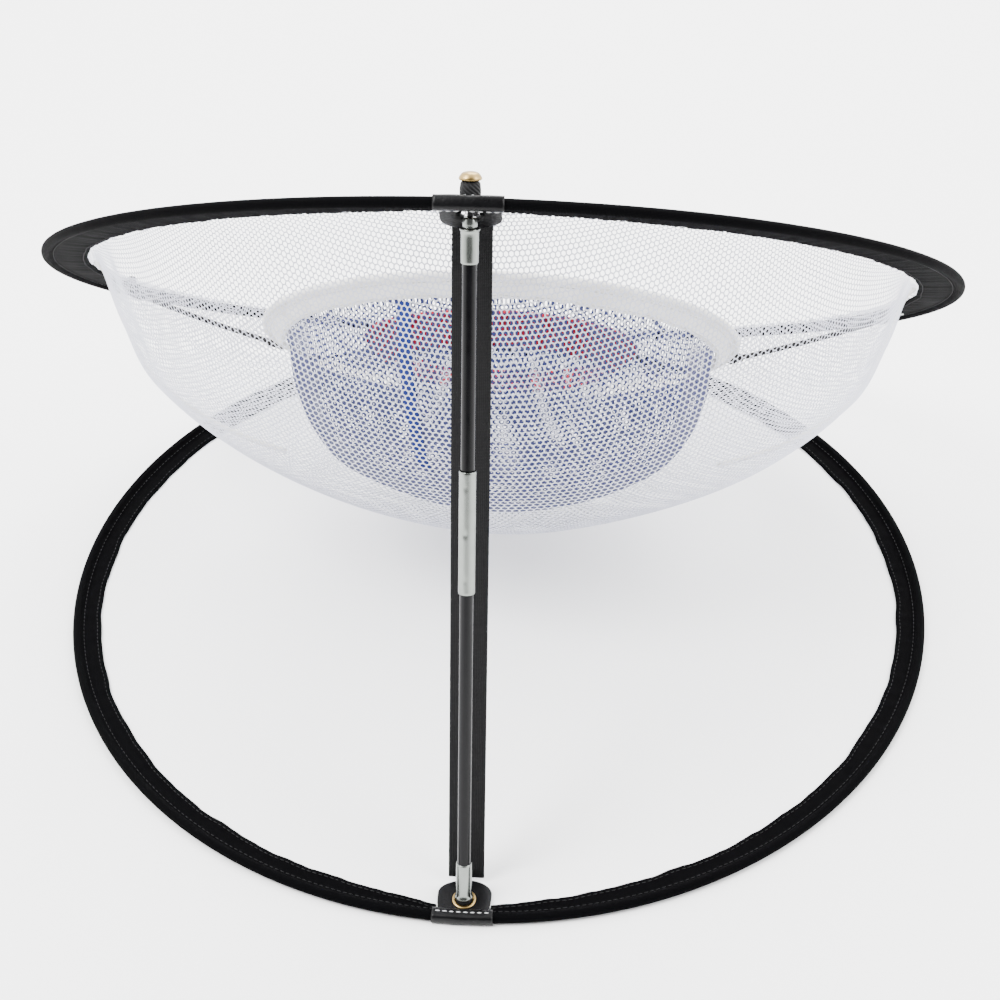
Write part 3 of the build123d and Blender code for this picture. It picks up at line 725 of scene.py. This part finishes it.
def outer_folds(angle, share):
    """Soft gathers under the hoop, and slack that fades to the pocket's floor."""
    gathers = ripple(angle, (14, 23, 31, 44), 3) * 2.2 * MM * np.clip((share - 0.55) * 3, 0, 1)
    slack = ripple(angle, (3, 5, 8), 5) * 3.0 * MM * np.sin(pi * np.clip(share, 0, 1))
    return (gathers + slack) * np.clip((1 - share) * 12, 0, 1)


def middle_folds(angle, share):
    """Gathers that fade at the bottom and under the band."""
    gathers = ripple(angle, (9, 13, 19, 27), 8) * 1.8 * MM * np.clip(share * 2, 0, 1)
    return gathers * np.clip((1 - share) * 10, 0, 1)


def inner_folds(angle, share):
    """Gathers like the middle net's, fewer and smaller."""
    gathers = ripple(angle, (6, 9, 14), 12) * 1.6 * MM * np.clip(share * 2, 0, 1)
    return gathers * np.clip((1 - share) * 10, 0, 1)


# Each pocket's ellipses: near and far (y, z) points and half width, in millimetres, mouth to bottom
OUTER_POCKET = (
    ((-98.0, 250.0), (228.0, 18.0), 220.0),
    ((-92.0, 185.0), (220.0, 13.0), 207.0),
    ((-74.0, 120.0), (204.0, 13.0), 171.0),
    ((-42.0, 73.0), (172.0, 17.0), 120.0),
    ((2.0, 42.0), (118.0, 26.0), 58.0),
)
MIDDLE_POCKET = (
    ((-57.0, 195.0), (112.0, 42.0), 117.0),
    ((-56.0, 150.0), (103.0, 35.0), 108.0),
    ((-45.0, 108.0), (88.0, 33.0), 91.0),
    ((-23.0, 74.0), (66.0, 35.0), 60.0),
    ((-2.0, 56.0), (40.0, 42.0), 28.0),
)
INNER_POCKET = (
    ((-20.0, 150.0), (62.0, 82.0), 55.0),
    ((-10.0, 120.0), (52.0, 78.0), 42.0),
    ((8.0, 98.0), (34.0, 84.0), 20.0),
)
OUTER_RINGS = pocket_rings(TARGET, ((233.0, 0.0, 1.1), (226.0, 3.0, 0.9)), OUTER_POCKET)
MIDDLE_RINGS = pocket_rings(MIDDLE, ((121.0, 0.0, -7.6), (119.0, 0.0, -10.5)), MIDDLE_POCKET)
INNER_RINGS = pocket_rings(INNER, ((61.5, 0.0, -13.4), (60.0, 0.0, -16.0)), INNER_POCKET)
hex_net(
    "outer_mesh", OUTER_RINGS, outer_folds, NET_PITCH, NET_THREAD, WHITE_YARN_PAINTED_SHADE,
    "target", "outer_net",
)
hex_net(
    "middle_mesh", MIDDLE_RINGS, middle_folds, NET_PITCH, BLUE_NET_THREAD, BLUE_YARN,
    "middle", "middle_net",
)
hex_net(
    "inner_mesh", INNER_RINGS, inner_folds, NET_PITCH, NET_THREAD, WHITE_YARN_PAINTED_SHADE,
    "inner", "inner_net",
)
for number, angle in enumerate((radians(188.0), radians(-6.0))):
    net_seam(
        f"outer_seam_{number}", OUTER_RINGS, outer_folds, angle, (0.42, 0.985), 5.0 * MM, WHITE_CLOTH,
        "target",
    )
net_seam(
    "middle_seam", MIDDLE_RINGS, middle_folds, radians(249.0), (0.5, 0.985), 8.0 * MM, BLUE_CLOTH,
    "middle",
)


# The pole's line, from the base's eyelet to the target's
pole_low = np.array(JOINTS["lower_rod_fold"]["pos_m"], float)
pole_high = np.array(JOINTS["upper_rod_fold"]["pos_m"], float)
pole_length = np.linalg.norm(pole_high - pole_low)
pole_axis = (pole_high - pole_low) / pole_length


# Patches and tabs: vinyl folded over each hoop, with a D-shaped tab and its eyelet
def patch_cover(name, hoop, low, tab_level, body, node):
    """Vinyl folded over a hoop's wire, its lower face at low, closing on the tab at its inner edge."""
    angle = np.linspace(NEAR - PATCH_ARC / 2, NEAR + PATCH_ARC / 2, 25)
    high = BEAD_R + PATCH_T
    outer = HOOP_R + PATCH_T
    bead_in = BEAD_RING_R - BEAD_R
    lip = tab_level + TAB_T / 2 + PATCH_T
    under = tab_level - TAB_T / 2 - PATCH_T
    outline = rounded(
        [
            (PATCH_IN_R, tab_level), (PATCH_IN_R, under), (bead_in, low), (outer, low),
            (outer, high), (bead_in, high), (PATCH_IN_R, lip), (PATCH_IN_R, tab_level),
        ], 5, 0.4,
    )[:-1]
    swell = 1 + 0.06 * ripple(angle * 40, (1, 2, 3), 9)
    z = outline[None, :, 1] * np.where(outline[None, :, 1] > 0, swell[:, None], 1.0)
    points, faces, uv = grid(hoop.ring(outline[None, :, 0], angle[:, None], z), close_second=True, cap=True)
    piece = make_piece(name, points, faces, VINYL, body, uv)
    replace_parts(piece, node)
    levels = (high,) if body == "base" else (high, low)
    lines = [hoop.ring(BEAD_RING_R - 0.6 * MM, angle[1:-1], level) for level in levels]
    runs = [stitch_run(line, LONG_STITCH, PATCH_THREAD_R) for line in lines]
    join_runs(f"{name}_stitches", runs, WHITE_THREAD, body)


def tab_plate(name, hoop, level, droop, body, node):
    """A D-shaped plate round its eyelet, bent down by an angle where it leaves its patch."""
    eyelet_y = -POLE_EYELET_RING_R
    half = TAB_W / 2
    turn = np.linspace(0, 2 * pi, 120, endpoint=False)
    straight_end = -TAB_END_R - TAB_ROUND
    x = half * np.sign(np.cos(turn)) * np.abs(np.cos(turn)) ** 0.5
    y = np.where(
        np.sin(turn) > 0,
        straight_end + TAB_ROUND * np.sin(turn),
        straight_end + (straight_end + TAB_OUT_R) * np.sign(np.sin(turn)) * np.abs(np.sin(turn)) ** 0.5,
    )
    x = np.where(np.sin(turn) > 0, half * np.cos(turn), x)
    rim = np.stack([x, y], -1)
    spoke = np.arctan2(y - eyelet_y, x)
    bore = np.stack([TAB_BORE_R * np.cos(spoke), eyelet_y + TAB_BORE_R * np.sin(spoke)], -1)
    share = np.array([0.0, 0.25, 0.5, 0.75, 0.93, 0.985, 1.0])
    flat = bore[None] + (rim - bore)[None] * share[:, None, None]
    thick = TAB_T / 2 * np.array([1.0, 1.0, 1.0, 0.97, 0.9, 0.6, 0.05])[:, None]
    bend = 0.35 * MM * np.sin(flat[..., 0] / half * 2.5) * share[:, None]
    bend = np.where(flat[..., 1] < -PATCH_IN_R, 0.0, bend)
    free = np.maximum(flat[..., 1] + PATCH_IN_R, 0.0)
    y = flat[..., 1] - free * (1 - cos(droop))
    bend = bend - free * sin(droop)
    top = hoop.at(flat[..., 0], y, level + thick + bend)
    bottom = hoop.at(flat[..., 0], y, level - thick + bend)
    shell = np.concatenate([bottom, top[::-1]])
    points, faces, uv = grid(shell, close_first=True, close_second=True)
    piece = make_piece(name, points, faces, VINYL, body, uv)
    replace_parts(piece, node)


def rolled_eyelet(name, centre, axis, bore, flange, grip, material, body):
    """A rolled eyelet: a barrel that curls out into a domed flange on each face."""
    turn = np.linspace(0, pi, 9)
    mid, half = (bore + flange) / 2, (flange - bore) / 2
    curl = [(grip / 2 + 0.05 * MM + EYELET_CURL * sin(t), mid - half * cos(t)) for t in turn]
    profile = [(-a, r) for a, r in curl[::-1]] + curl
    profile.append((grip / 2, flange - 0.2 * MM))
    profile.insert(0, (-grip / 2, flange - 0.2 * MM))
    points, faces, uv = grid(revolved(centre, axis, profile), close_second=True)
    return make_piece(name, points, faces, material, body, uv)


patch_cover("base_patch_vinyl", BASE, -BASE_WIRE_Z, BASE_TAB_LEVEL, "base", "base_patch")
patch_cover("target_patch_vinyl", TARGET, -BEAD_R - PATCH_T, 0.0, "target", "target_patch")
TARGET_DROOP = TILT - atan2(pole_axis[1], pole_axis[2])
tab_plate("base_tab_vinyl", BASE, BASE_TAB_LEVEL, 0.0, "base", "base_tab")
tab_plate("target_tab_vinyl", TARGET, 0.0, TARGET_DROOP, "target", "target_tab")
base_eyelet_at = np.mean(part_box("base_eyelet"), axis=0)
to_tab = TARGET.at(0.0, -PATCH_IN_R, 0.0) - pole_high
target_eyelet_at = pole_high + pole_axis * (to_tab @ pole_axis)
for label, place, axis in (("base", base_eyelet_at, BASE.z), ("target", target_eyelet_at, pole_axis)):
    ring = rolled_eyelet(
        f"{label}_eyelet_brass", place, axis, POLE_EYELET_BORE_R, POLE_EYELET_FLANGE_R, TAB_T, BRASS,
        label,
    )
    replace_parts(ring, f"{label}_eyelet")
for number, angle in enumerate(CORD_ANGLES.values()):
    ring = rolled_eyelet(
        f"cord_eyelet_{number}", TARGET.ring(CORD_EYELET_RING_R, np.array(angle)), TARGET.z,
        CORD_EYELET_BORE_R, CORD_EYELET_FLANGE_R, HEM_T, STEEL, "target",
    )
    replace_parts(ring, "cord_eyelets")


# Pole: turned tips and a crimped ferrule; tip profiles are (along the pole, radius) in millimetres
LOWER_TIP = rounded(
    [
        (-3.9, 1.5), (-3.9, 4.5), (-3.0, 4.6), (-1.6, 4.0), (15.2, 3.9), (15.9, 3.75), (16.0, 3.3),
    ], 4, 0.35,
) * MM
UPPER_TIP = rounded(
    [
        (-4.2, 1.5), (-4.2, 2.8), (-1.8, 3.4), (0.2, 3.2), (0.7, 4.4), (1.7, 4.4), (2.3, 3.9),
        (15.2, 3.9), (15.9, 3.75), (16.0, 3.3),
    ], 4, 0.35,
) * MM
for label, profile, origin, direction in (
    ("lower", LOWER_TIP, pole_low, pole_axis), ("upper", UPPER_TIP, pole_high, -pole_axis),
):
    points, faces, uv = grid(revolved(origin, direction, profile), close_second=True)
    tip = make_piece(f"{label}_tip_steel", points, faces, STEEL, f"{label}_pole", uv)
    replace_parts(tip, f"{label}_tip")


def crimped_ferrule():
    """A steel tube with rolled ends, a crimp dent at its middle and a fainter one near each end."""
    ends = rounded([(0, 3.3), (0, 3.8), (0.5, 3.95), (4.0, 3.9)], 4, 0.35) * MM
    along = np.linspace(5.0 * MM, FERRULE_LENGTH - 5.0 * MM, 90)
    body = np.stack([along, np.full(90, FERRULE_R)], -1)
    top = ends[::-1] * [-1, 1] + [FERRULE_LENGTH, 0]
    profile = np.vstack([ends, body, top])
    points = revolved(pole_low + pole_axis * FERRULE_LOW, pole_axis, profile, 64)
    centre_line = pole_low + pole_axis * (FERRULE_LOW + profile[:, 0])[:, None]
    spoke = points - centre_line[:, None]
    spoke /= np.linalg.norm(spoke, axis=2, keepdims=True)
    facing = spoke @ vec(-0.25, -0.968, 0.0)
    for at in (0.5, 0.88, 0.12):
        near = np.exp(-(((profile[:, 0] - at * FERRULE_LENGTH) / (1.6 * MM)) ** 2))[:, None]
        dent = near * np.exp(-((1 - facing) / 0.05)) * (0.5 if at == 0.5 else 0.25) * MM
        points = points - spoke * dent[..., None]
    return points


points, faces, uv = grid(crimped_ferrule(), close_second=True)
ferrule = make_piece("mid_ferrule_steel", points, faces, STEEL, "lower_pole", uv)
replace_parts(ferrule, "mid_ferrule")


# Stop and cap over the target's tab, on the pole's own line
def cap_turned(name, profile, material, node):
    """A turned piece of the target's body, measured from its eyelet along the pole."""
    points, faces, uv = grid(revolved(target_eyelet_at, pole_axis, profile), close_second=True)
    piece = make_piece(name, points, faces, material, "target", uv)
    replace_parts(piece, node)


STOP = rounded([(1.3, 0.2), (1.3, 4.4), (5.5, 4.7), (10.0, 4.2), (10.4, 0.2)], 6, 0.45) * MM
CAP = rounded([(10.2, 3.0), (10.2, 5.0), (11.4, 5.0), (13.2, 3.6), (13.75, 1.6), (13.8, 0.05)], 5, 0.4) * MM
cap_turned("cord_stop_knot", STOP, ELASTIC, "cord_stop")
cap_turned("cord_cap_brass", CAP, BRASS, "cord_cap")
neck = tube(np.linspace(pole_high, target_eyelet_at + pole_axis * 2.0 * MM, 4), 1.25 * MM)
points, faces, uv = grid(neck, close_second=True)
make_piece("cord_stop_neck", points, faces, ELASTIC, "target", uv)


# Strap: flat webbing between the tabs, bowed a little
strap_low, strap_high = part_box("strap")
strap_start = vec(0, strap_low[1] + 0.7 * MM, strap_low[2] + 0.8 * MM)
strap_end = vec(0, strap_high[1] - 0.7 * MM, strap_high[2] - 0.4 * MM)
run = np.linspace(0, 1, 60)[:, None]
strap_line = strap_start + (strap_end - strap_start) * run
strap_dir = (strap_end - strap_start) / np.linalg.norm(strap_end - strap_start)
strap_out = np.cross(strap_dir, vec(1, 0, 0))
strap_line = strap_line + strap_out * np.sin(pi * run) * STRAP_BOW
points, faces, uv = grid(
    ribbon(strap_line, vec(1, 0, 0), strap_out, STRAP_W, STRAP_T), close_second=True, cap=True
)
strap = make_piece("strap_webbing", points, faces, WEBBING, None, uv)
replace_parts(strap, "strap")
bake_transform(strap)


# Cords: elastic from the target hoop to the middle hoop, and from there to the inner hoop
def whipping(name, place, direction, radius, length, body):
    """Turns of thin cord wound round a cord's end, where it is tied back on itself."""
    turn = np.linspace(0, 1, 90)
    wind = 2 * pi * length / (1.5 * radius) * turn
    side = np.cross(direction, vec(0, 0, 1))
    side /= np.linalg.norm(side)
    other = np.cross(direction, side)
    coil = place + direction * ((turn - 0.5) * length)[:, None]
    coil = coil + 1.25 * radius * (np.cos(wind)[:, None] * side + np.sin(wind)[:, None] * other)
    points, faces, uv = grid(tube(coil, radius * 0.7, 8), close_second=True, cap=True)
    flatten(make_piece(name, points, faces, ELASTIC, body, uv))


def elastic_cord(node, start, end, radius, sag, body, end_body):
    """A cord that rides on one body, with a whipped knot at each end."""
    run = np.linspace(0, 1, 24)[:, None]
    line = start + (end - start) * run + vec(0, 0, -sag) * np.sin(pi * run)
    points, faces, uv = grid(tube(line, radius), close_second=True, cap=True)
    cord = flatten(make_piece(f"{node}_elastic", points, faces, ELASTIC, body, uv))
    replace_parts(cord, node)
    direction = (end - start) / np.linalg.norm(end - start)
    length = 6.0 * radius
    whipping(f"{node}_start_knot", start + direction * length * 0.7, direction, radius, length, body)
    whipping(f"{node}_end_knot", end - direction * length * 0.6, direction, radius, length, end_body)


def bead_tie(hoop, ring_radius, angle, start):
    """Where a cord that comes from a point is tied to a small hoop."""
    bead = hoop.ring(ring_radius, angle)
    return bead + (start - bead) / np.linalg.norm(start - bead) * 2.2 * MM


TOP_KNOT = rounded(
    [(-3.2, 0.1), (-3.0, 2.4), (-1.0, 3.3), (1.2, 3.0), (2.8, 2.0), (3.1, 0.1)], 4, 0.4
) * MM
for side, angle in {**CORD_ANGLES, "near": NEAR}.items():
    if side == "near":
        start = TARGET.at(0.0, -TAB_END_R + 0.6 * MM, -0.4 * MM)
    else:
        start = TARGET.ring(CORD_EYELET_RING_R, angle, -2.2 * MM)
    end = bead_tie(MIDDLE, MIDDLE_HOOP_R - SMALL_BEAD_R, angle, start)
    elastic_cord(f"long_cord_{side}", start, end, LONG_CORD_R, LONG_CORD_SAG, "target", "middle")
    hem = MIDDLE.ring(118.6 * MM, angle, -7.7 * MM)
    end = bead_tie(INNER, INNER_HOOP_R - SMALL_BEAD_R, angle, hem)
    elastic_cord(f"short_cord_{side}", hem, end, SHORT_CORD_R, SHORT_CORD_SAG, "middle", "inner")
    if side != "near":
        knot_at = TARGET.ring(CORD_EYELET_RING_R, angle, 4.5 * MM)
        points, faces, uv = grid(revolved(knot_at, TARGET.z, TOP_KNOT, 24), close_second=True)
        make_piece(f"cord_top_knot_{side}", points, faces, ELASTIC, "target", uv)


# Hinge loop: webbing that saddles the base hoop and goes round the target hoop's bead
loop_turn = np.linspace(-0.5 * pi, 1.5 * pi, 40)
loop_normal = np.stack([np.zeros(40), np.cos(loop_turn), np.sin(loop_turn)], -1)
loop_path = vec(0, *hinge[1:]) + LOOP_R * loop_normal
loop_band = ribbon(loop_path, vec(1, 0, 0), loop_normal, LOOP_W, LOOP_T)
points, faces, uv = grid(loop_band, close_second=True, cap=True)
loop = make_piece("hinge_loop_webbing", points, faces, WEBBING, "base", uv)
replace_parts(loop, "hinge_loop")
saddle_turn = np.linspace(0.02, pi - 0.02, 24)
saddle_normal = np.stack([np.zeros(24), np.cos(saddle_turn), np.sin(saddle_turn)], -1)
saddle_path = vec(0, BEAD_RING_R, BASE_WIRE_Z) + SADDLE_R * saddle_normal
saddle_band = ribbon(saddle_path, vec(1, 0, 0), saddle_normal, LOOP_W, SADDLE_T)
points, faces, uv = grid(saddle_band, close_second=True, cap=True)
make_piece("hinge_saddle_webbing", points, faces, WEBBING, "base", uv)


# Frame pieces that keep their shape get their finish
CAD_FINISH = {
    "base_hoop_wire": WIRE_STEEL,
    "target_hoop_wire": WIRE_STEEL,
    "base_wire_joiner": STEEL,
    "target_wire_joiner": STEEL,
    "lower_rod": ROD_BLACK,
    "upper_rod": ROD_BLACK,
    "lower_shock_cord": ELASTIC,
    "upper_shock_cord": ELASTIC,
    "base_cord_knot": ELASTIC,
}
for node, finish in CAD_FINISH.items():
    mesh = frame["nodes"][node].data
    if not mesh.materials:
        mesh.materials.append(finish)
    for number in range(len(mesh.materials)):
        mesh.materials[number] = finish


# Stage: a plain pale floor and soft studio light
def make_stage():
    """A plain pale floor, wide enough to reach the horizon."""
    nodes = Nodes("floor", (0.99, 0.99, 0.99), 0.9, gloss=0.1)
    nodes.vary_colour(nodes.noise(nodes.coordinates("Object"), 3.0), 0.99, 1.01)
    mesh = bpy.data.meshes.new("floor")
    corners = [(x * FLOOR_REACH, y * FLOOR_REACH, 0) for x, y in ((-1, -1), (1, -1), (1, 1), (-1, 1))]
    mesh.from_pydata(corners, [], [(0, 1, 2, 3)])
    mesh.materials.append(nodes.material)
    floor = bpy.data.objects.new("floor", mesh)
    bpy.context.collection.objects.link(floor)


def make_light(name, place, size, power):
    """A square soft light aimed at the middle of the object."""
    data = bpy.data.lights.new(name, "AREA")
    data.energy = power
    data.size = size
    light = bpy.data.objects.new(name, data)
    light.location = place
    light.rotation_euler = (Vector((0, 0, 0.1)) - Vector(place)).to_track_quat("-Z", "Y").to_euler()
    bpy.context.collection.objects.link(light)


make_stage()
make_light("key_light", (-1.4, -0.6, 2.2), 1.2, 120.0)
make_light("fill_light", (1.9, -0.3, 1.6), 1.4, 50.0)
make_light("back_light", (0.3, 1.8, 1.9), 1.6, 100.0)


def make_world():
    """A white studio that is dim on the side the picture is taken from."""
    world = bpy.data.worlds.new("studio")
    world.use_nodes = True
    tree = world.node_tree
    direction = tree.nodes.new("ShaderNodeTexCoord")
    dot = tree.nodes.new("ShaderNodeVectorMath")
    dot.operation = "DOT_PRODUCT"
    dot.inputs[1].default_value = (0.0, -0.85, 0.53)
    spread = tree.nodes.new("ShaderNodeMapRange")
    spread.interpolation_type = "SMOOTHSTEP"
    spread.inputs["From Min"].default_value = 0.35
    spread.inputs["From Max"].default_value = 0.85
    spread.inputs["To Min"].default_value = WORLD_BRIGHT
    spread.inputs["To Max"].default_value = WORLD_DIM
    background = tree.nodes["Background"]
    background.inputs["Color"].default_value = (1.0, 1.0, 1.0, 1.0)
    tree.links.new(direction.outputs["Generated"], dot.inputs[0])
    tree.links.new(dot.outputs["Value"], spread.inputs["Value"])
    tree.links.new(spread.outputs["Result"], background.inputs["Strength"])
    bpy.context.scene.world = world


make_world()
